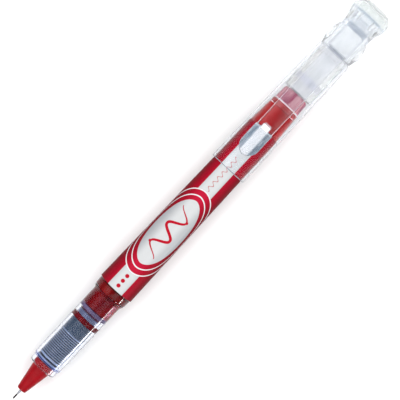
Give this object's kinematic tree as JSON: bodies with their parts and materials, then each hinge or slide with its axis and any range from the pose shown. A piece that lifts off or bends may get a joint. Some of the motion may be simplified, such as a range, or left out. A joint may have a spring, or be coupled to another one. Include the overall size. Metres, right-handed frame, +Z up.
{
  "type": "liquid ink needle-point pen",
  "caption": "Needle-point liquid-ink pen with a clear front section over a finned ink collector, a printed ink barrel and a clear clip cap posted on the tail.",
  "frame": {"origin": "centre of the footprint, on the surface that the pen lies on", "axes": "+X from the needle towards the cap, +Z up, out through the cap's clip"},
  "size_m": [0.1504, 0.012, 0.0151],
  "materials": {
    "clear_plastic": "clear polished polystyrene",
    "liner_plastic": "clear plastic, slightly frosted",
    "red_plastic": "satin opaque red plastic",
    "red_ring_plastic": "wet red plastic",
    "collector_plastic": "satin blue-grey plastic",
    "buffer_plastic": "finely grooved grey plastic",
    "seal_rubber": "grey-violet rubber",
    "soft_seal_rubber": "pale lavender rubber",
    "dark_fibre": "bonded fibre point",
    "wick_fibre": "ink-soaked bonded fibre",
    "red_ink": "deep red water-based ink",
    "label_film": "crimson and silver printed film",
    "plug_plastic": "translucent pink-red plastic",
    "needle_steel": "drawn stainless steel"
  },
  "bodies": {
    "pen": {"writing_point": "dark_fibre", "needle_sleeve": "needle_steel", "tip_cone": "red_plastic", "feed_rod": "wick_fibre", "ink_collector": "collector_plastic", "buffer_sleeve": "buffer_plastic", "retaining_ring": "red_ring_plastic", "core_flange": "collector_plastic", "ink_seal": "seal_rubber", "front_section": "clear_plastic", "barrel": "clear_plastic", "ink": "red_ink", "label_sleeve": "label_film", "tail_plug": "plug_plastic"},
    "cap_slider": {"inner_cap": "liner_plastic", "cap_seal_ring": "soft_seal_rubber"},
    "cap": {"cap_shell": "clear_plastic", "clip_collar": "clear_plastic", "cap_crown": "clear_plastic"},
    "clip": {"clip_arm": "clear_plastic"}
  },
  "joints": [
    {"name": "cap_pull", "type": "slide", "parent": "pen", "child": "cap_slider", "axis": [1, 0, 0], "range_m": [0, 0.03]},
    {"name": "cap_turn", "type": "hinge", "parent": "cap_slider", "child": "cap", "pos_m": [0.0577, 0, 0.006], "axis": [1, 0, 0], "continuous": true},
    {"name": "clip_flex", "type": "hinge", "parent": "cap", "child": "clip", "pos_m": [0.059, 0, 0.0142], "axis": [0, 1, 0], "range_deg": [0, 6], "stiffness_Nm_per_rad": 0.05}
  ]
}
